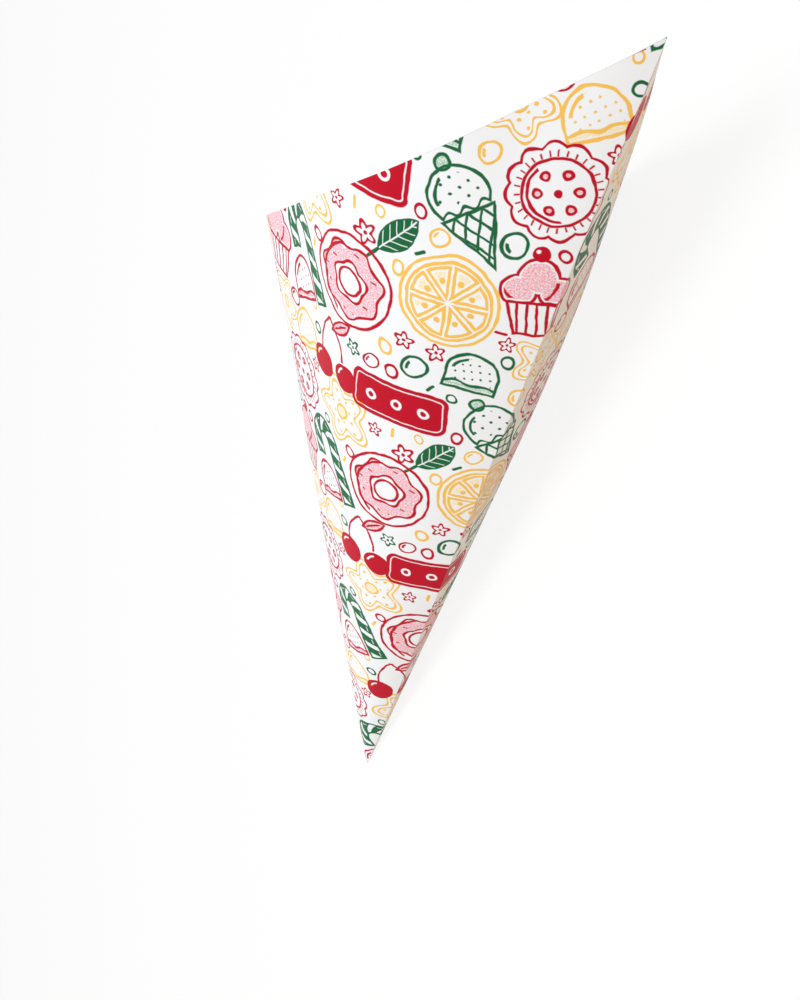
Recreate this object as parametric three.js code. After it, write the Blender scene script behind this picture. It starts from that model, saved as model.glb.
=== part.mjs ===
import * as THREE from "three";

// A pointed cone bag, folded from one square sheet of paper. The sheet's corner is the tip, its
// diagonal is the crease, and the two sides that meet at the tip are glued together along the
// side fold. The bag is open and lies on its back panel. Millimetres and degrees, +Z up, +Y from
// the tip to the mouth, with the crease on the +X side.

// Driving dimensions
const sheetSide = 190;
const paper = 0.3;
const panelRise = 36.1;
const restWidth = 57;
const flapWidth = 12;
const flapStart = 56;
const flapEnd = 8;
const foldRound = 0.6;
const tipBlunt = 1.5;
const closingStart = 125;
const closingAngle = 18.5;
const closingBend = 35;
const closingPower = 2.5;
const roundness = 3.17;

// Fineness of the facets
const curveSteps = 400;
const frontColumns = 26;
const flapColumns = 3;
const backColumns = 24;
const rowStep = 14;
const solveSteps = 50;

// The square's corner is shared by two equal panels, seen as angles at the tip.
const panelAngle = Math.PI / 4;
const diagonal = sheetSide / Math.cos(panelAngle);
const flapTop = sheetSide - flapEnd;

// The section is drawn on the plane at unit distance from the tip: sizes over the sheet's side.
const rise = panelRise / sheetSide;
const restHalf = restWidth / 2 / sheetSide;

function panelHeight(across, halfWidth) {
  return rise * (1 - Math.abs(across / halfWidth) ** roundness);
}

// One panel from the side fold to the crease, as unit vectors from the tip. The back panel is
// flat where the bag rests on it.
function panelCurve(halfWidth, isBack) {
  const flatHeight = panelHeight(restHalf, halfWidth);
  const points = [];
  for (let i = 0; i <= curveSteps; i++) {
    const across = -halfWidth * Math.cos((Math.PI * i) / curveSteps);
    const height = panelHeight(across, halfWidth);
    const z = isBack ? -Math.min(height, flatHeight) : height;
    points.push(new THREE.Vector3(across, 1, z).normalize());
  }
  return points;
}

// Sheet angle from the side fold to each point of a panel's curve
function anglesAlong(points) {
  const angles = [0];
  for (let i = 1; i < points.length; i++) {
    angles.push(angles[i - 1] + points[i].angleTo(points[i - 1]));
  }
  return angles;
}

// The folds stand as far apart as makes the two panels together use up the sheet's right angle.
function solveHalfWidth() {
  let low = 0;
  let high = Math.tan(panelAngle);
  for (let i = 0; i < solveSteps; i++) {
    const middle = (low + high) / 2;
    const front = anglesAlong(panelCurve(middle, false)).at(-1);
    const back = anglesAlong(panelCurve(middle, true)).at(-1);
    if (front + back > 2 * panelAngle) {
      high = middle;
    } else {
      low = middle;
    }
  }
  return (low + high) / 2;
}

const halfWidth = solveHalfWidth();
const frontPanel = { points: panelCurve(halfWidth, false) };
const backPanel = { points: panelCurve(halfWidth, true) };
frontPanel.angles = anglesAlong(frontPanel.points);
backPanel.angles = anglesAlong(backPanel.points);

// Direction from the tip at an angle measured on the flat sheet from the side fold
function directionAt(panel, angle) {
  const last = panel.angles.length - 1;
  const wanted = (angle / panelAngle) * panel.angles[last];
  let i = 1;
  while (i < last && panel.angles[i] < wanted) {
    i++;
  }
  const share = (wanted - panel.angles[i - 1]) / (panel.angles[i] - panel.angles[i - 1]);
  return panel.points[i - 1].clone().lerp(panel.points[i], share).normalize();
}

// Sheet angle at which the flat on the back panel ends, on the crease's side
function flatEndAngle() {
  const { points, angles } = backPanel;
  const i = points.findIndex((point) => point.x / point.y > restHalf);
  return (angles[i - 1] / angles.at(-1)) * panelAngle;
}

const flatEnd = flatEndAngle();
const crease = directionAt(frontPanel, panelAngle);

// A point of the sheet. Along is measured on the side fold from the tip, square to the mouth's
// cut edge. Towards the peak the back panel swings in to the front panel about the crease, and
// bends from its flat to closingBend, a sheet angle from the side fold.
function sheetPoint(panel, angle, along) {
  const reach = along / Math.cos(angle);
  const point = directionAt(panel, angle).multiplyScalar(reach);
  if (panel === backPanel) {
    const up = Math.max(0, (reach - closingStart) / (diagonal - closingStart));
    const towards = THREE.MathUtils.smoothstep(angle, flatEnd, THREE.MathUtils.degToRad(closingBend));
    const turn = THREE.MathUtils.degToRad(closingAngle) * up ** closingPower * towards;
    point.applyAxisAngle(crease, turn);
  }
  return point;
}

function evenSpan(from, to, step) {
  const count = Math.max(1, Math.round((to - from) / step));
  return Array.from({ length: count + 1 }, (_, i) => from + ((to - from) * i) / count);
}

// Rows run parallel to the mouth's cut edge, with one on each side of both ends of the flap.
const rows = [
  ...evenSpan(tipBlunt, flapStart - paper, rowStep),
  ...evenSpan(flapStart, flapTop, rowStep),
  ...evenSpan(flapTop + paper, sheetSide, rowStep),
];

// Columns of one row: across the front panel to the crease, then back to the side fold. The
// glued flap is a second thickness on the back panel, from the side fold to flapWidth.
function columnsOf(along) {
  const level = Math.max(along, flapStart);
  const foldEdge = Math.atan(foldRound / level);
  const flapEdge = Math.atan(flapWidth / level);
  const stepFoot = Math.atan((flapWidth + paper) / level);
  const columns = [];
  for (let i = 0; i <= frontColumns; i++) {
    columns.push({ panel: frontPanel, angle: (panelAngle * i) / frontColumns, raised: false });
  }
  for (let i = 1; i <= backColumns; i++) {
    const angle = panelAngle + ((stepFoot - panelAngle) * i) / backColumns;
    columns.push({ panel: backPanel, angle, raised: false });
  }
  for (let i = 0; i <= flapColumns; i++) {
    const angle = flapEdge + ((foldEdge - flapEdge) * i) / flapColumns;
    columns.push({ panel: backPanel, angle, raised: true });
  }
  return columns;
}

// The bag's outside, as a grid of points: skin[row][column], each row a closed ring
const columnRows = rows.map(columnsOf);
const skin = rows.map((along, row) =>
  columnRows[row].map(({ panel, angle }) => sheetPoint(panel, angle, along)),
);

// The way out of the paper at a point, long enough at a fold for both its walls to keep their
// thickness
function outwardAt(row, column) {
  const ring = skin[row];
  const count = ring.length;
  const below = skin[Math.max(row - 1, 0)][column];
  const above = skin[Math.min(row + 1, skin.length - 1)][column];
  const up = above.clone().sub(below);
  const before = ring[column].clone().sub(ring[(column + count - 1) % count]);
  const after = ring[(column + 1) % count].clone().sub(ring[column]);
  const first = before.cross(up).normalize();
  const second = after.cross(up).normalize();
  return first.clone().add(second).divideScalar(1 + first.dot(second));
}

function offsetPoint(row, column, distance) {
  return skin[row][column].clone().addScaledVector(outwardAt(row, column), distance);
}

const outside = rows.map((along, row) =>
  columnRows[row].map(({ raised }, column) => {
    const onFlap = raised && along >= flapStart && along <= flapTop;
    return offsetPoint(row, column, onFlap ? paper : 0);
  }),
);
const inside = rows.map((along, row) => skin[row].map((_, column) => offsetPoint(row, column, -paper)));

// One closed skin: the blunt tip, up the outside, over the cut edge and down the inside to
// where the walls meet
function bagGeometry() {
  const rings = [...outside, ...inside.slice(1).reverse()];
  const count = rings[0].length;
  const outerTip = new THREE.Vector3(0, outside[0][0].y, 0);
  const innerTip = new THREE.Vector3(0, tipBlunt + paper / rise, 0);
  const points = [outerTip, ...rings.flat(), innerTip];
  const innerTipIndex = points.length - 1;
  const triangles = [];
  const at = (ring, column) => 1 + ring * count + (column % count);
  for (let i = 0; i < count; i++) {
    triangles.push(0, at(0, i + 1), at(0, i));
    for (let ring = 0; ring < rings.length - 1; ring++) {
      triangles.push(at(ring, i), at(ring, i + 1), at(ring + 1, i));
      triangles.push(at(ring, i + 1), at(ring + 1, i + 1), at(ring + 1, i));
    }
    const last = rings.length - 1;
    triangles.push(innerTipIndex, at(last, i), at(last, i + 1));
  }
  const geometry = new THREE.BufferGeometry();
  const numbers = points.flatMap((point) => point.toArray());
  geometry.setAttribute("position", new THREE.Float32BufferAttribute(numbers, 3));
  geometry.setIndex(triangles);
  geometry.computeVertexNormals();
  return geometry;
}

const printedPaper = new THREE.MeshStandardMaterial({ color: "#f4f1ef", roughness: 0.45, metalness: 0 });
const bag = new THREE.Mesh(bagGeometry(), printedPaper);
bag.name = "paper_cone";

// Turned so that the flat on the back panel lies on the floor, with the origin at the middle of
// the bag's box, on the floor
const flatTilt = Math.atan(panelHeight(restHalf, halfWidth));
bag.geometry.rotateX(flatTilt);
bag.geometry.computeBoundingBox();
const middle = bag.geometry.boundingBox.getCenter(new THREE.Vector3());
bag.position.set(-middle.x, -middle.y, -bag.geometry.boundingBox.min.z);

const paperConeBag = new THREE.Group();
paperConeBag.add(bag);

export default paperConeBag;
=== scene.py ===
import bisect
import math

import bpy
from mathutils import Matrix, Vector


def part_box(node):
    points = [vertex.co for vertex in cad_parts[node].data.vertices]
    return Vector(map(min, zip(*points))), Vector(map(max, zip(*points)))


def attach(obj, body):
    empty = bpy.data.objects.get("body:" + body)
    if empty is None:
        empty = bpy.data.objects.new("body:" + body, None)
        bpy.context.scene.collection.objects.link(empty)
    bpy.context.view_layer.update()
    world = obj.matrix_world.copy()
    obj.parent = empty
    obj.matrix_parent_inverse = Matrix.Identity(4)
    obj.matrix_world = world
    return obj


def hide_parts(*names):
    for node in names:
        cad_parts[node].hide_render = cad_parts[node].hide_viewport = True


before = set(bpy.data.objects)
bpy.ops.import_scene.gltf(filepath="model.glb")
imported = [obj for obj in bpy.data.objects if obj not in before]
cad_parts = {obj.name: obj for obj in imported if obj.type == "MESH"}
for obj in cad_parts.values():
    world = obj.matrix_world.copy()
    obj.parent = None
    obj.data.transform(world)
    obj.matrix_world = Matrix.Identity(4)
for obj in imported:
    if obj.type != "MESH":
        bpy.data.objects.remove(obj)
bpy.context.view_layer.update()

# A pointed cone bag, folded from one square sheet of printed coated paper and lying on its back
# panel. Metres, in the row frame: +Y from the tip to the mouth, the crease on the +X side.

# Sizes of the bag, as in the part's source
SHEET_SIDE = 0.190
PANEL_RISE = 0.0361
REST_WIDTH = 0.057
ROUNDNESS = 3.17
FLAP_WIDTH = 0.012
FLAP_START = 0.056
FLAP_END = 0.182
TIP_BLUNT = 0.0015
CLOSING_START = 0.125
CLOSING_ANGLE = math.radians(18.5)
CLOSING_BEND = math.radians(35)
CLOSING_POWER = 2.5

# The sheet as it is drawn here. The flap lies off the back panel by its clearance, in papers.
PAPER = 0.00016
FLAP_CLEARANCE = 1.1
SHEET_CELLS = 152
FLAP_COLUMNS = 8
FLAP_ROWS = 104
CURVE_STEPS = 600
SMOOTH_TO = math.radians(25)

# Soft dents that handling left in the front panel: across and along the sheet, radius, depth.
# They fade out towards the two folds, at these angles from the side fold.
DENTS = (
    (0.150, 0.178, 0.020, 0.0017),
    (0.128, 0.186, 0.010, -0.0006),
    (0.076, 0.182, 0.016, 0.0008),
    (0.032, 0.150, 0.015, 0.0005),
    (0.100, 0.130, 0.020, 0.0006),
    (0.045, 0.090, 0.012, -0.0004),
)
SIDE_FOLD_STIFF_TO = math.radians(6)
CREASE_STIFF_FROM = math.radians(40)

# The mouth's edge curls in a little where the back panel lifts off its flat: across, along,
# radius, depth
EDGE_CURL = (0.190, 0.120, 0.016, 0.0026)

# A slight wave of both panels, which dies away from the mouth to the tip
WAVE_LENGTH = 0.046
WAVE_HEIGHT = 0.0005
WAVE_POWER = 5
FLAT_SHARE_WAVED = 0.6

QUARTER = math.pi / 2
PANEL_ANGLE = QUARTER / 2
DIAGONAL = SHEET_SIDE * math.sqrt(2)


def smoothstep(value, low, high):
    share = min(max((value - low) / (high - low), 0), 1)
    return share * share * (3 - 2 * share)


# Folding: the shape of the two panels

def panel_height(across, half_width):
    """Height of a panel above the plane of the two folds, at unit distance from the tip."""
    return PANEL_RISE / SHEET_SIDE * (1 - abs(across / half_width) ** ROUNDNESS)


def panel_curve(half_width, is_back):
    """Unit vectors from the tip, from the side fold to the crease."""
    flat_height = panel_height(REST_WIDTH / 2 / SHEET_SIDE, half_width)
    points = []
    for i in range(CURVE_STEPS + 1):
        across = -half_width * math.cos(math.pi * i / CURVE_STEPS)
        height = panel_height(across, half_width)
        z = -min(height, flat_height) if is_back else height
        length = math.hypot(across, 1, z)
        points.append((across / length, 1 / length, z / length))
    return points


def angles_along(points):
    angles = [0.0]
    for before, after in zip(points, points[1:]):
        angles.append(angles[-1] + 2 * math.asin(math.dist(before, after) / 2))
    return angles


def solve_half_width():
    """The folds stand as far apart as makes the two panels use up the sheet's right angle."""
    low, high = 0.0, 1.0
    while high - low > 1e-7:
        middle = (low + high) / 2
        total = sum(angles_along(panel_curve(middle, is_back))[-1] for is_back in (False, True))
        if total > QUARTER:
            high = middle
        else:
            low = middle
    return low


class Panel:
    """One panel of the bag, which says where an angle on the flat sheet comes to lie."""

    def __init__(self, half_width, is_back):
        self.is_back = is_back
        self.points = panel_curve(half_width, is_back)
        self.angles = angles_along(self.points)

    def direction(self, angle):
        wanted = angle / PANEL_ANGLE * self.angles[-1]
        i = min(max(bisect.bisect_left(self.angles, wanted), 1), CURVE_STEPS)
        share = (wanted - self.angles[i - 1]) / (self.angles[i] - self.angles[i - 1])
        return Vector(self.points[i - 1]).lerp(Vector(self.points[i]), share).normalized()

    def outward(self, angle):
        step = PANEL_ANGLE / CURVE_STEPS
        before = self.direction(max(angle - step, 0))
        after = self.direction(min(angle + step, PANEL_ANGLE))
        normal = before.cross(after).normalized()
        return normal if self.is_back else -normal


half_width = solve_half_width()
flat_height = panel_height(REST_WIDTH / 2 / SHEET_SIDE, half_width)
front_panel = Panel(half_width, False)
back_panel = Panel(half_width, True)
crease = front_panel.direction(PANEL_ANGLE)
flat_end = PANEL_ANGLE * next(
    angle for point, angle in zip(back_panel.points, back_panel.angles)
    if point[0] / point[1] > REST_WIDTH / 2 / SHEET_SIDE
) / back_panel.angles[-1]


def dent_depth(across, along, dent):
    dent_across, dent_along, radius, depth = dent
    off = math.hypot(across - dent_across, along - dent_along) / radius
    return depth * math.exp(-off * off)


def dented(across, along, angle, is_back):
    """How far the paper bulges outwards at a point of the sheet. Both folds stay as they are,
    and the panels only wave inwards, so that the bag keeps its size and lies on its flat."""
    give = smoothstep(angle, 0, SIDE_FOLD_STIFF_TO)
    give *= 1 - smoothstep(angle, CREASE_STIFF_FROM, PANEL_ANGLE)
    near_mouth = (max(across, along) / SHEET_SIDE) ** WAVE_POWER
    wave = math.sin(min(across, along) / WAVE_LENGTH * 2 * math.pi) * near_mouth
    if is_back:
        give *= 1 - smoothstep(angle, flat_end * FLAT_SHARE_WAVED, flat_end)
        return -WAVE_HEIGHT * (1 + wave) * near_mouth * give - dent_depth(across, along, EDGE_CURL)
    bulge = WAVE_HEIGHT * (wave - near_mouth)
    for dent in DENTS:
        bulge -= dent_depth(across, along, dent)
    return bulge * give


def folded(across, along):
    """Where a point of the flat sheet comes to lie, in the bag's own frame with the tip at the
    origin. Along is measured up the side fold and across square to it; a negative across is
    the glue flap, which goes round the fold onto the back panel."""
    reach = math.hypot(across, along)
    if reach < 1e-9:
        return Vector((0, TIP_BLUNT, 0))
    angle = math.atan2(across, along)
    if 0 <= angle <= PANEL_ANGLE:
        panel, angle = front_panel, angle
    else:
        panel, angle = back_panel, min(abs(angle), QUARTER - angle)
    point = panel.direction(angle) * math.hypot(reach, TIP_BLUNT)
    if panel.is_back:
        up = max(0, (reach - CLOSING_START) / (DIAGONAL - CLOSING_START))
        turn = CLOSING_ANGLE * up ** CLOSING_POWER * smoothstep(angle, flat_end, CLOSING_BEND)
        point = Matrix.Rotation(turn, 3, crease) @ point
    bulge = dented(abs(across), along, angle, panel.is_back)
    if across < 0:
        bulge += PAPER * FLAP_CLEARANCE
    return point + panel.outward(angle) * bulge


tilt = Matrix.Rotation(math.atan(flat_height), 3, "X")


def deselect_everything():
    for thing in bpy.context.selected_objects:
        thing.select_set(False)


def flat_grid(name, columns, rows, low, high):
    """A flat piece of the sheet, from its low corner to its high one, without a map."""
    deselect_everything()
    bpy.ops.mesh.primitive_grid_add(
        x_subdivisions=columns, y_subdivisions=rows, size=1, calc_uvs=False,
        location=((low[0] + high[0]) / 2, (low[1] + high[1]) / 2, 0),
    )
    piece = bpy.context.object
    piece.name = name
    piece.scale = (high[0] - low[0], high[1] - low[1], 1)
    bpy.ops.object.transform_apply(location=True, rotation=False, scale=True)
    return piece


def folded_sheet():
    sheet = flat_grid("paper_sheet", SHEET_CELLS, SHEET_CELLS, (0, 0), (SHEET_SIDE, SHEET_SIDE))
    bpy.ops.object.mode_set(mode="EDIT")
    bpy.ops.mesh.select_all(action="SELECT")
    bpy.ops.mesh.bisect(plane_co=(0, 0, 0), plane_no=(1, -1, 0))
    bpy.ops.object.mode_set(mode="OBJECT")
    flap = flat_grid("glue_flap", FLAP_COLUMNS, FLAP_ROWS, (-FLAP_WIDTH, FLAP_START), (0, FLAP_END))
    sheet.select_set(True)
    bpy.context.view_layer.objects.active = sheet
    bpy.ops.object.join()
    mesh = sheet.data
    sheet_map = mesh.uv_layers.new(name="sheet")
    for loop in mesh.loops:
        at = mesh.vertices[loop.vertex_index].co
        sheet_map.data[loop.index].uv = (at.x / SHEET_SIDE, at.y / SHEET_SIDE)
    for vertex in mesh.vertices:
        vertex.co = tilt @ folded(vertex.co.x, vertex.co.y)
    return sheet


def put_in_place(piece):
    """Moves the bag to where the frame has it, and gives the place of its tip."""
    low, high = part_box("paper_cone")
    corners = [vertex.co for vertex in piece.data.vertices]
    own_low = Vector([min(at[i] for at in corners) for i in range(3)])
    own_high = Vector([max(at[i] for at in corners) for i in range(3)])
    move = (low + high - own_low - own_high) / 2
    move.z = low.z - own_low.z
    piece.data.transform(Matrix.Translation(move))
    return move


def give_thickness(piece):
    wall = piece.modifiers.new("wall", "SOLIDIFY")
    wall.thickness = PAPER
    wall.offset = -1
    wall.use_even_offset = True
    wall.material_offset = 1
    wall.material_offset_rim = 2
    bpy.context.view_layer.objects.active = piece
    bpy.ops.object.modifier_apply(modifier=wall.name)


# Print and paper: node groups

PEN_WIDTH_MM = 0.78
PEN_SWELL_MM = 0.45
PEN_LIGHTEST_MM = 0.22
HAND_WOBBLE_MM = 1.5
SOFT_EDGE_MM = 0.22
TILE_MM = (88, 61)
PRINT_TURN = math.radians(22)
SHOW_THROUGH = 0.1

# Grain of the print and the paper, in cells per millimetre
WOBBLE_GRAIN = 0.16
PRESS_GRAIN = 0.35
STIPPLE_GRAIN = 2.6
FIBRE_GRAIN = 4.0
COCKLE_GRAIN = 0.07
COCKLE = 0.25
BUMP_STRENGTH = 0.35
BUMP_METRES = 0.0002

INKS = {
    "yellow": ((247, 196, 92), (252, 226, 164)),
    "green": ((24, 100, 57), (160, 200, 176)),
    "crimson": ((190, 10, 38), (242, 160, 176)),
}
PAPER_WHITE = (244, 247, 251)
PAPER_CORE = (150, 147, 144)


def linear(colour):
    """A screen colour, 0 to 255, as a shader's colour."""
    def one(value):
        value /= 255
        return value / 12.92 if value <= 0.04045 else ((value + 0.055) / 1.055) ** 2.4
    return (*map(one, colour), 1)


def join(tree, value, socket):
    if isinstance(value, Value):
        value = value.socket
    if isinstance(value, bpy.types.NodeSocket):
        tree.links.new(value, socket)
    else:
        socket.default_value = value


class Value:
    """A number inside a node tree. Sums with it become Math nodes of that tree."""

    def __init__(self, tree, socket):
        self.tree = tree
        self.socket = socket

    def math(self, operation, *others, clamp=False):
        node = self.tree.nodes.new("ShaderNodeMath")
        node.operation = operation
        node.use_clamp = clamp
        for socket, value in zip(node.inputs, (self, *others)):
            join(self.tree, value, socket)
        return Value(self.tree, node.outputs["Value"])

    def __add__(self, other):
        return self.math("ADD", other)

    def __sub__(self, other):
        return self.math("SUBTRACT", other)

    def __mul__(self, other):
        return self.math("MULTIPLY", other)

    def __abs__(self):
        return self.math("ABSOLUTE")

    def least(self, other):
        return self.math("MINIMUM", other)

    def most(self, other):
        return self.math("MAXIMUM", other)

    def cosine(self):
        return self.math("COSINE")

    def between(self, half):
        """The value folded into the span from -half to half."""
        return self.math("WRAP", half, -half)

    def without(self, mask):
        """This mask where the other one is absent."""
        return self * mask.math("MULTIPLY_ADD", -1, 1)


def length(x, y):
    node = x.tree.nodes.new("ShaderNodeCombineXYZ")
    join(x.tree, x, node.inputs["X"])
    join(x.tree, y, node.inputs["Y"])
    size = x.tree.nodes.new("ShaderNodeVectorMath")
    size.operation = "LENGTH"
    x.tree.links.new(node.outputs["Vector"], size.inputs[0])
    return Value(x.tree, size.outputs["Value"])


def disc(x, y, across, up, radius):
    return length(x - across, y - up) - radius


def box(x, y, half_width, half_height, corner):
    over_x = abs(x) - (half_width - corner)
    over_y = abs(y) - (half_height - corner)
    outer = length(over_x.most(0), over_y.most(0))
    return outer + over_x.most(over_y).least(0) - corner


def dots(x, y, step, radius):
    return length(x.between(step / 2), y.between(step / 2)) - radius


def filled(distance):
    """Mask of the inside of a shape."""
    return distance.math("MULTIPLY_ADD", -1 / SOFT_EDGE_MM, 0.5, clamp=True)


def drawn(distance, pen):
    """Mask of the pen's line along a shape's edge."""
    return abs(distance).math("MULTIPLY_ADD", -1 / SOFT_EDGE_MM, pen, clamp=True)


def union(*masks):
    whole = masks[0]
    for mask in masks[1:]:
        whole = whole.most(mask)
    return whole


# Motifs. Each takes x to the right and y up from its middle, in millimetres, and the pen, and
# gives its lines and its tinted area, or None where it has no tint.

def doughnut(x, y, pen):
    radius = length(x, y)
    angle = y.math("ARCTAN2", x)
    icing = radius - 9.3 - (angle * 7).cosine() * 0.7
    around_hole = (radius * -1) + 4.9 + (angle * 5).cosine() * 0.4
    area = filled(icing.most(around_hole) + 0.5)
    sprinkles = filled(box(x.between(1.9), (y + x * 0.4).between(2.1), 0.85, 0.27, 0.25))
    crumbs = drawn(length(x - 1, y + 1) - 10.1, pen) * filled(x - y * 0.4 + 3)
    lines = union(
        drawn(radius - 11.8, pen), drawn(radius - 3.4, pen), drawn(icing, pen),
        drawn(around_hole, pen), sprinkles * filled(icing.most(around_hole) + 1.2), crumbs,
    )
    return lines, area.without(sprinkles)


def star_biscuit(x, y, pen):
    radius = length(x, y)
    angle = x.math("ARCTAN2", y)
    edge = radius - 9 - (angle * 5).cosine() * 1.9
    icing = edge + 1.9
    middle = radius - 2.1
    lines = union(
        drawn(edge, pen), drawn(icing, pen), drawn(middle, pen),
        filled(dots(x, y, 3.1, 0.55)) * filled(icing + 1).without(filled(middle - 0.9)),
    )
    return lines, filled(middle + 0.5)


def citrus_wheel(x, y, pen):
    radius = length(x, y)
    angle = y.math("ARCTAN2", x)
    wedge = abs(angle.between(math.pi / 8)) * radius
    to_border = radius * (math.pi / 8) - wedge
    segment = (radius - 8.7).most(to_border * -1 + 0.65)
    pips = filled(length(wedge, radius - 5.6) - 0.75)
    lines = union(drawn(radius - 11.4, pen), drawn(radius - 9.8, pen), drawn(segment, pen), pips)
    return lines, filled(segment + 0.9) * filled(angle.math("SINE") * -6)


def scalloped_biscuit(x, y, pen):
    radius = length(x, y)
    angle = y.math("ARCTAN2", x)
    edge = radius - 10.9 - abs((angle * 6).cosine()) * 1.1
    holes = length(angle.between(math.pi / 6) * 4.7, radius - 4.7) - 0.95
    ticks = filled(abs(angle.between(math.pi / 30)) * radius - 0.22)
    rim = filled(abs(radius - 9.35) - 0.75)
    lines = union(
        drawn(edge, pen), drawn(radius - 8.2, pen), drawn(holes, pen),
        ticks * rim, filled(radius - 1), drawn(radius - 7, pen) * filled(x + y * 0.3 + 2),
    )
    return lines, filled(holes + 0.4)


def striped_cane(x, y, pen):
    bend = 5.2
    from_bend = length(x + 1, (y - 5).most(0))
    side = (x + 1).math("SIGN")
    lower_end = (side * -7) - 6.5
    edge = (abs(from_bend - bend) - 2.5).most(lower_end - y)
    along = (y - 5).most(0).math("ARCTAN2", x + 1) * bend + (y - 5).least(0) * side
    band = abs((along + (from_bend - bend) * 0.6).between(2.6)) - 1.25
    shine = filled(abs(from_bend - bend - 1.3) - 0.14)
    inside = filled(edge)
    solid = (filled(band) * inside).without(shine)
    return union(drawn(edge, pen), solid, drawn(band, pen) * inside), None


def ice_cone(x, y, pen):
    wafer = ((abs(x) - (y + 14) * 0.46) * 0.91).most(y)
    scoop = disc(x, y, 0, 4.6, 7).most((y * -1) + 1 + (x * 1.4).cosine() * 0.7)
    top = disc(x, y, 0, 12.6, 1.7)
    net = drawn((x + y * 0.62).between(1.7), pen).most(drawn((x - y * 0.62).between(1.7), pen))
    sprinkles = filled(dots(x + y * 0.35, y - x * 0.3, 3, 0.42)) * filled(scoop + 1.4)
    shine = drawn(disc(x, y, 0, 4.6, 5.3), pen) * filled(x + 2.2) * filled(y * -1 + 4)
    lines = union(
        drawn(wafer, pen), net * filled(wafer + 0.2), drawn(scoop, pen), sprinkles, shine,
        drawn(top, pen),
    )
    return lines, filled(top)


def cup_cake(x, y, pen):
    cup = (abs(x) - (y + 11) * 0.2 - 5.2).most(abs(y + 6.8) - 4.2)
    swirl = disc(x, y, -4.3, 0.6, 4.1).least(disc(x, y, 4.3, 0.6, 4.1))
    swirl = swirl.least(disc(x, y, 0, 4.4, 4.6)).most(y * -1 - 2.4)
    cherry = disc(x, y, 0.4, 10.4, 2)
    pleats = drawn((x - x * y * 0.014).between(1.25), pen) * filled(cup + 0.2)
    folds = drawn(disc(x, y, -2, 3.5, 6.2), pen) * filled(y - 3.4) * filled(swirl + 0.9)
    shine = filled(disc(x, y, -0.3, 11, 0.5))
    lines = union(drawn(cup, pen), pleats, drawn(swirl, pen), folds, filled(cherry).without(shine))
    return lines, filled(swirl + 0.8)


def cherry_pair(x, y, pen):
    left = disc(x, y, -5.2, -5.4, 5)
    right = disc(x, y, 5.6, -6.6, 4.5)
    fruit = left.least(right)
    shines = union(
        filled(abs(disc(x, y, -5.2, -5.4, 3.3)) - 0.32) * filled(x + 6) * filled(y * -1 - 4.6),
        filled(abs(disc(x, y, 5.6, -6.6, 2.9)) - 0.3) * filled(x - 5) * filled(y * -1 - 6),
    )
    above = filled(y * -1 - 1.6) * filled(y - 11)
    stems = union(
        drawn(disc(x, y, 9.4, -1, 14.5), pen) * filled(x - 2),
        drawn(disc(x, y, -9.2, 0.4, 14.4), pen) * filled(x * -1),
    ) * above
    leaf = disc(x, y, 8.6, 4.8, 7).most(disc(x, y, 4.2, 14.2, 7))
    vein = drawn(y - 9.6 + x * -0.47 + 3, pen) * filled(leaf + 0.9)
    return union(filled(fruit).without(shines), stems, drawn(leaf, pen), vein), filled(leaf)


def ribbon_bar(x, y, pen):
    edge = box(x, y, 13.5, 6.2, 2.6)
    beads = disc(x.between(3.6), y, 0, 0, 1.55)
    seam = filled(abs(edge + 1.3) - 0.16)
    holes = union(filled(beads) * filled(edge + 2.2), seam)
    inner = filled(beads + 0.75) * filled(edge + 2.2)
    return union(filled(edge).without(holes), inner), None


def gum_drop(x, y, pen):
    edge = (length(x, y.most(-1) + 1) - 6.2).most(y * -1 - 5.4)
    crystals = filled(dots(x + y * 0.25, y - x * 0.25, 2.1, 0.3)) * filled(edge + 1.3)
    shine = drawn(length(x, y.most(-1) + 1) - 4.6, pen) * filled(x + 1.4) * filled(y * -1)
    base = drawn(y + 3.7 + (x * 0.9).cosine() * 0.3, pen) * filled(edge)
    return union(drawn(edge, pen), crystals, shine, base), filled(edge + 0.6) * filled(y + 4)


def leaf_sprig(x, y, pen):
    blade = disc(x, y, 5.4, 0, 9.4).most(disc(x, y, -5.4, 0, 9.4))
    vein = filled(abs(x) - 0.2)
    ribs = filled(abs((y - abs(x) * 0.9).between(1.35)) - 0.17)
    stalk = filled(box(x, y + 9.6, 0.5, 2.6, 0.4))
    cuts = union(vein, ribs) * filled(blade + 0.5)
    return union(filled(blade).without(cuts), stalk), None


def bubble(x, y, pen):
    radius = length(x, y * 1.15)
    shine = drawn(radius - 1.7, pen) * filled(x + 0.2) * filled(y * -1 + 0.1)
    return union(drawn(radius - 2.9, pen), shine), None


def bead(x, y, pen):
    radius = length(x * 1.2, y)
    return drawn(radius - 1.7, pen), None


def blossom(x, y, pen):
    radius = length(x, y)
    edge = radius - 1.75 - (y.math("ARCTAN2", x) * 5).cosine() * 0.55
    return union(drawn(edge, pen), filled(radius - 0.45)), None


def sprinkle(x, y, pen):
    return filled(box(x, y, 1.5, 0.45, 0.42)), None


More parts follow.
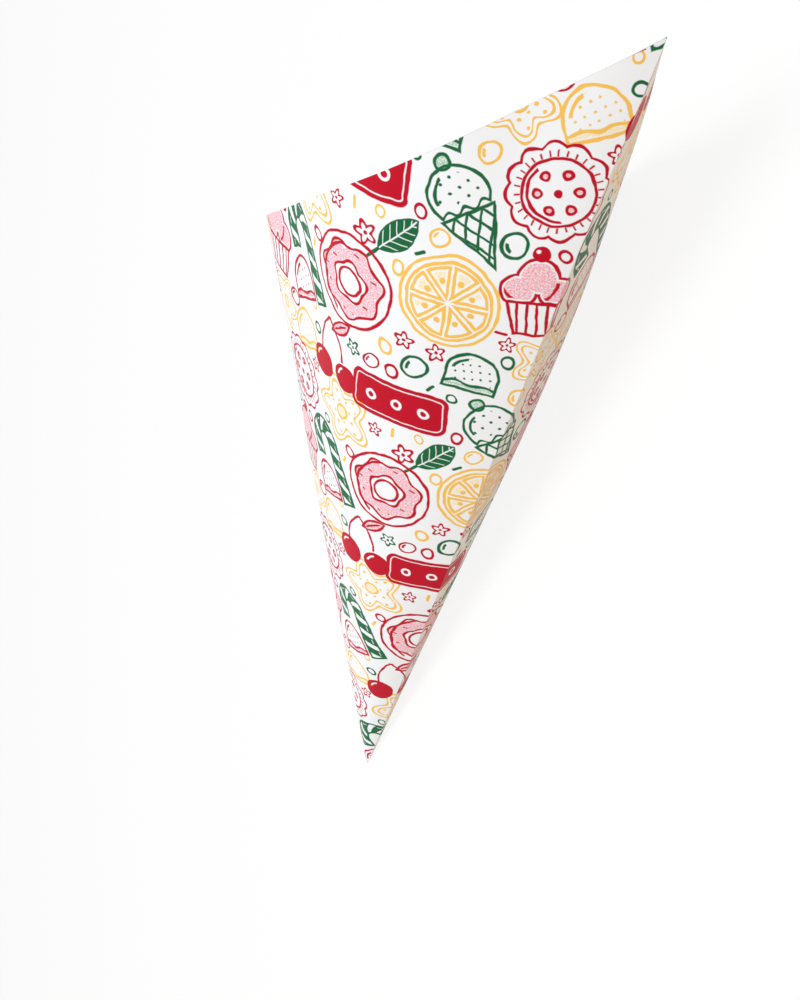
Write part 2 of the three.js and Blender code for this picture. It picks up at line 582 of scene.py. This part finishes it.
# Where each motif stands in the repeat: millimetres, degrees, size and ink
LAYOUT = (
    (striped_cane, 9, 14, 16, 1.0, "green"),
    (doughnut, 32, 13, 0, 1.03, "crimson"),
    (citrus_wheel, 58, 11, 8, 1.0, "yellow"),
    (cup_cake, 78, 12.5, -8, 0.96, "crimson"),
    (leaf_sprig, 48, 26.5, -58, 0.88, "green"),
    (star_biscuit, 20, 34, 12, 1.0, "yellow"),
    (ice_cone, 65, 32, 20, 0.96, "green"),
    (ribbon_bar, 40, 42, -15, 1.0, "crimson"),
    (scalloped_biscuit, 84, 35.8, 0, 0.9, "crimson"),
    (gum_drop, 4, 52, 10, 1.0, "yellow"),
    (cherry_pair, 19, 51.5, -4, 0.92, "crimson"),
    (gum_drop, 61, 53, -20, 1.0, "green"),
    (star_biscuit, 78, 54.5, 40, 0.74, "yellow"),
    (gum_drop, 5.5, 5.5, 15, 1.0, "crimson"),
    (bubble, 47, 54, 20, 1.15, "green"),
    (bubble, 74, 24.5, 60, 1.05, "green"),
    (bubble, 86, 58.5, 0, 0.85, "crimson"),
    (bubble, 58, 26.5, 0, 0.8, "yellow"),
    (bubble, 71, 45, 40, 0.85, "yellow"),
    (bubble, 35, 54, 10, 0.8, "crimson"),
    (bead, 47, 19, 0, 1.0, "yellow"),
    (bead, 21, 22, 50, 1.0, "crimson"),
    (bead, 40, 59, 20, 1.1, "yellow"),
    (bead, 55, 45, 30, 0.8, "green"),
    (bead, 40.5, 52, 0, 1.1, "crimson"),
    (bead, 69.5, 55.5, 20, 1.0, "green"),
    (bead, 12.5, 55.5, 60, 0.9, "green"),
    (bead, 54.5, 32.5, 0, 0.9, "crimson"),
    (bead, 11, 28, 30, 0.8, "green"),
    (bead, 44.5, 32, 0, 0.75, "yellow"),
    (blossom, 39.5, 26.5, 30, 1.25, "crimson"),
    (blossom, 53, 58.5, 15, 1.0, "crimson"),
    (blossom, 29.5, 56, 40, 0.95, "green"),
    (blossom, 45.5, 0.5, 0, 1.0, "crimson"),
    (blossom, 32, 33, 0, 0.9, "crimson"),
    (blossom, 8, 43, 20, 0.85, "crimson"),
    (bead, 12, 0.5, 0, 0.7, "yellow"),
    (blossom, 70, 60.5, 0, 0.85, "crimson"),
    (bead, 84.5, 21.5, 0, 0.9, "crimson"),
    (sprinkle, 50, 48, 40, 1.0, "green"),
    (sprinkle, 69, 3, -30, 1.0, "crimson"),
    (sprinkle, 18, 18.5, 60, 1.0, "yellow"),
    (sprinkle, 53, 23, 20, 1.0, "green"),
    (sprinkle, 37.5, 33, 75, 1.0, "yellow"),
)


def new_group(name, inputs, outputs):
    """A shader node group with its named sockets, and its two end nodes."""
    group = bpy.data.node_groups.new(name, "ShaderNodeTree")
    for socket_name, kind in inputs:
        group.interface.new_socket(socket_name, in_out="INPUT", socket_type=kind)
    for socket_name, kind in outputs:
        group.interface.new_socket(socket_name, in_out="OUTPUT", socket_type=kind)
    return group, group.nodes.new("NodeGroupInput"), group.nodes.new("NodeGroupOutput")


def motif_group(motif):
    group, start, end = new_group(
        motif.__name__.replace("_", " "),
        [("Place", "NodeSocketVector"), ("Pen", "NodeSocketFloat")],
        [("Lines", "NodeSocketFloat"), ("Tint", "NodeSocketFloat")],
    )
    split = group.nodes.new("ShaderNodeSeparateXYZ")
    group.links.new(start.outputs["Place"], split.inputs["Vector"])
    lines, tint = motif(
        Value(group, split.outputs["X"]), Value(group, split.outputs["Y"]),
        Value(group, start.outputs["Pen"]),
    )
    group.links.new(lines.socket, end.inputs["Lines"])
    if tint is not None:
        group.links.new(tint.socket, end.inputs["Tint"])
    return group


def vector_math(tree, operation, *values):
    node = tree.nodes.new("ShaderNodeVectorMath")
    node.operation = operation
    for socket, value in zip(node.inputs, values):
        join(tree, value, socket)
    return node.outputs["Vector"]


def turned(tree, vector, turn, size=1.0):
    """A vector in the frame of something that is turned and scaled."""
    node = tree.nodes.new("ShaderNodeMapping")
    node.vector_type = "TEXTURE"
    node.inputs["Rotation"].default_value = (0, 0, turn)
    node.inputs["Scale"].default_value = (size, size, size)
    tree.links.new(vector, node.inputs["Vector"])
    return node.outputs["Vector"]


def noise(tree, vector, scale, detail=2.0):
    node = tree.nodes.new("ShaderNodeTexNoise")
    node.inputs["Scale"].default_value = scale
    node.inputs["Detail"].default_value = detail
    tree.links.new(vector, node.inputs["Vector"])
    return node


def mixed(tree, mask, first, second):
    node = tree.nodes.new("ShaderNodeMix")
    node.data_type = "RGBA"
    join(tree, mask, node.inputs["Factor"])
    join(tree, first, node.inputs["A"])
    join(tree, second, node.inputs["B"])
    return node.outputs["Result"]


def sweets_print():
    """The printed pattern, from the place on the flat sheet in millimetres."""
    group, start, end = new_group(
        "sweets print", [("Place", "NodeSocketVector")], [("Colour", "NodeSocketColor")],
    )
    flat = start.outputs["Place"]
    wobble = noise(group, flat, WOBBLE_GRAIN).outputs["Color"]
    wobble = vector_math(group, "SUBTRACT", wobble, (0.5, 0.5, 0.5))
    wobble = vector_math(group, "MULTIPLY", wobble, (HAND_WOBBLE_MM, HAND_WOBBLE_MM, 0))
    place = turned(group, vector_math(group, "ADD", flat, wobble), -PRINT_TURN)
    press = Value(group, noise(group, flat, PRESS_GRAIN).outputs["Fac"])
    lightest = (PEN_WIDTH_MM / 2 - PEN_LIGHTEST_MM) / SOFT_EDGE_MM + 0.5
    pen = press.math("MULTIPLY_ADD", PEN_SWELL_MM / SOFT_EDGE_MM, lightest)
    groups = {motif: motif_group(motif) for motif in dict.fromkeys(row[0] for row in LAYOUT)}
    lines, tints = {}, {}
    half_tile = (TILE_MM[0] / 2, TILE_MM[1] / 2, 1)
    for motif, across, up, turn, size, ink in LAYOUT:
        local = vector_math(group, "SUBTRACT", place, (across, up, 0))
        local = vector_math(group, "WRAP", local, half_tile, tuple(-half for half in half_tile))
        node = group.nodes.new("ShaderNodeGroup")
        node.node_tree = groups[motif]
        group.links.new(turned(group, local, math.radians(turn), size), node.inputs["Place"])
        join(group, pen, node.inputs["Pen"])
        lines.setdefault(ink, []).append(Value(group, node.outputs["Lines"]))
        tints.setdefault(ink, []).append(Value(group, node.outputs["Tint"]))
    grain = Value(group, noise(group, flat, STIPPLE_GRAIN, 1.0).outputs["Fac"])
    stipple = grain.math("MULTIPLY_ADD", 3.2, -0.95, clamp=True)
    colour = linear(PAPER_WHITE)
    for ink, (_, pale) in INKS.items():
        colour = mixed(group, union(*tints[ink]) * stipple, colour, linear(pale))
    for ink, (full, _) in INKS.items():
        colour = mixed(group, union(*lines[ink]), colour, linear(full))
    group.links.new(colour, end.inputs["Colour"])
    return group


def paper_surface():
    """Height and tone of the paper itself: fibres, and the slight cockle of a thin sheet."""
    group, start, end = new_group(
        "paper surface",
        [("Place", "NodeSocketVector"), ("Fibres", "NodeSocketFloat")],
        [("Height", "NodeSocketFloat"), ("Tone", "NodeSocketFloat")],
    )
    fine = Value(group, noise(group, start.outputs["Place"], FIBRE_GRAIN, 3.0).outputs["Fac"])
    broad = Value(group, noise(group, start.outputs["Place"], COCKLE_GRAIN).outputs["Fac"])
    fibres = Value(group, start.outputs["Fibres"])
    join(group, (fine - 0.5) * fibres + (broad - 0.5) * COCKLE, end.inputs["Height"])
    join(group, (fine - 0.5) * (fibres * 0.4) + (broad - 0.5) * 0.06 + 1, end.inputs["Tone"])
    return group


print_group = sweets_print()
surface_group = paper_surface()


def sheet_place(tree):
    """The place on the flat sheet in millimetres, from the sheet's own map."""
    node = tree.nodes.new("ShaderNodeUVMap")
    node.uv_map = "sheet"
    side = SHEET_SIDE * 1000
    return vector_math(tree, "MULTIPLY", node.outputs["UV"], (side, side, 0))


def paper_material(name, roughness, shine, fibres, finish_colour):
    material = bpy.data.materials.new(name)
    material.use_nodes = True
    tree = material.node_tree
    surface = tree.nodes["Principled BSDF"]
    surface.inputs["Roughness"].default_value = roughness
    surface.inputs["Specular IOR Level"].default_value = shine
    place = sheet_place(tree)
    paper = tree.nodes.new("ShaderNodeGroup")
    paper.node_tree = surface_group
    tree.links.new(place, paper.inputs["Place"])
    paper.inputs["Fibres"].default_value = fibres
    colour = vector_math(tree, "MULTIPLY", finish_colour(tree, place), paper.outputs["Tone"])
    tree.links.new(colour, surface.inputs["Base Color"])
    bump = tree.nodes.new("ShaderNodeBump")
    bump.inputs["Strength"].default_value = BUMP_STRENGTH
    bump.inputs["Distance"].default_value = BUMP_METRES
    tree.links.new(paper.outputs["Height"], bump.inputs["Height"])
    tree.links.new(bump.outputs["Normal"], surface.inputs["Normal"])
    return material


def printed_colour(tree, place):
    node = tree.nodes.new("ShaderNodeGroup")
    node.node_tree = print_group
    tree.links.new(place, node.inputs["Place"])
    return node.outputs["Colour"]


def plain_colour(tree, place):
    """White, with the print faintly showing through the thin sheet."""
    return mixed(tree, SHOW_THROUGH, linear(PAPER_WHITE), printed_colour(tree, place))


def edge_colour(tree, place):
    """The cut edge has one grey wherever it is."""
    return mixed(tree, 0.5, linear(PAPER_WHITE), linear(PAPER_CORE))


sheet = folded_sheet()
tip_place = put_in_place(sheet)
sheet.data.materials.append(paper_material("printed outside", 0.45, 0.12, 0.12, printed_colour))
sheet.data.materials.append(paper_material("plain inside", 0.75, 0.15, 0.3, plain_colour))
sheet.data.materials.append(paper_material("cut edge", 0.85, 0.1, 0.4, edge_colour))
give_thickness(sheet)
deselect_everything()
sheet.select_set(True)
bpy.context.view_layer.objects.active = sheet
bpy.ops.object.shade_smooth_by_angle(angle=SMOOTH_TO)
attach(sheet, "root")
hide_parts("paper_cone")

# Floor and light

FLOOR_SIZE = 16
FLOOR_WHITE = 0.88
FLOOR_SEEN = (0.92, 0.92, 0.92, 1)
FLOOR_BOUNCE = (0.70, 0.57, 0.42, 1)
WORLD_STRENGTH = 0.46
KEY_PLACE = (0.18, 0.04, 1.22)
KEY_SIZE = 0.6
KEY_WATTS = 10.6


def seen_directly(tree):
    """1 for what the camera, a reflection or clear material sees, 0 for what lights the object."""
    path = tree.nodes.new("ShaderNodeLightPath")
    seen = Value(tree, path.outputs["Is Camera Ray"])
    for ray in ("Is Glossy Ray", "Is Transmission Ray"):
        seen = seen.most(Value(tree, path.outputs[ray]))
    return seen


def make_floor():
    """A floor that is white to the eye, keeps the bag's soft shadow and throws a warm light
    back at it."""
    deselect_everything()
    bpy.ops.mesh.primitive_plane_add(size=FLOOR_SIZE, location=(0, 0, 0))
    floor = bpy.context.object
    floor.name = "floor"
    material = bpy.data.materials.new("floor white")
    material.use_nodes = True
    tree = material.node_tree
    surface = tree.nodes["Principled BSDF"]
    seen = seen_directly(tree)
    colour = mixed(tree, seen, FLOOR_BOUNCE, FLOOR_SEEN)
    tree.links.new(colour, surface.inputs["Base Color"])
    surface.inputs["Roughness"].default_value = 0.9
    surface.inputs["Specular IOR Level"].default_value = 0.1
    white = tree.nodes.new("ShaderNodeEmission")
    mix = tree.nodes.new("ShaderNodeMixShader")
    join(tree, seen * FLOOR_WHITE, mix.inputs["Fac"])
    tree.links.new(surface.outputs["BSDF"], mix.inputs[1])
    tree.links.new(white.outputs["Emission"], mix.inputs[2])
    tree.links.new(mix.outputs["Shader"], tree.nodes["Material Output"].inputs["Surface"])
    floor.data.materials.append(material)


def make_lamp(name, place, size, power):
    """A soft round lamp that faces the bag."""
    lamp = bpy.data.objects.new(name, bpy.data.lights.new(name, "AREA"))
    lamp.data.shape = "DISK"
    lamp.data.size = size
    lamp.data.energy = power
    lamp.location = place
    lamp.rotation_euler = (Vector(place) * -1).to_track_quat("-Z", "Y").to_euler()
    bpy.context.scene.collection.objects.link(lamp)


def make_world():
    world = bpy.data.worlds.new("studio")
    world.use_nodes = True
    tree = world.node_tree
    background = tree.nodes["Background"]
    background.inputs["Color"].default_value = (1, 1, 1, 1)
    strength = seen_directly(tree).math("MULTIPLY_ADD", 1 - WORLD_STRENGTH, WORLD_STRENGTH)
    join(tree, strength, background.inputs["Strength"])
    bpy.context.scene.world = world


make_floor()
make_lamp("key", KEY_PLACE, KEY_SIZE, KEY_WATTS)
make_world()

# Camera: places and directions from the bag's tip, in the row frame

CAMERA_FROM_TIP = Vector((0.2453, 0.2513, 0.1754))
CAMERA_LOOK = Vector((-0.7557, -0.4368, -0.4879))
CAMERA_UP = Vector((-0.5001, 0.8659, -0.0006))
CAMERA_LENS_MM = 38.34


def make_camera():
    camera = bpy.data.objects.new("camera", bpy.data.cameras.new("camera"))
    camera.data.lens = CAMERA_LENS_MM
    camera.data.clip_end = 100
    look = CAMERA_LOOK.normalized()
    right = look.cross(CAMERA_UP).normalized()
    up = right.cross(look)
    camera.matrix_world = Matrix.Translation(tip_place + CAMERA_FROM_TIP) @ Matrix(
        (right, up, -look)
    ).transposed().to_4x4()
    bpy.context.scene.collection.objects.link(camera)
    bpy.context.scene.camera = camera


make_camera()
bpy.context.scene.view_settings.view_transform = "Standard"
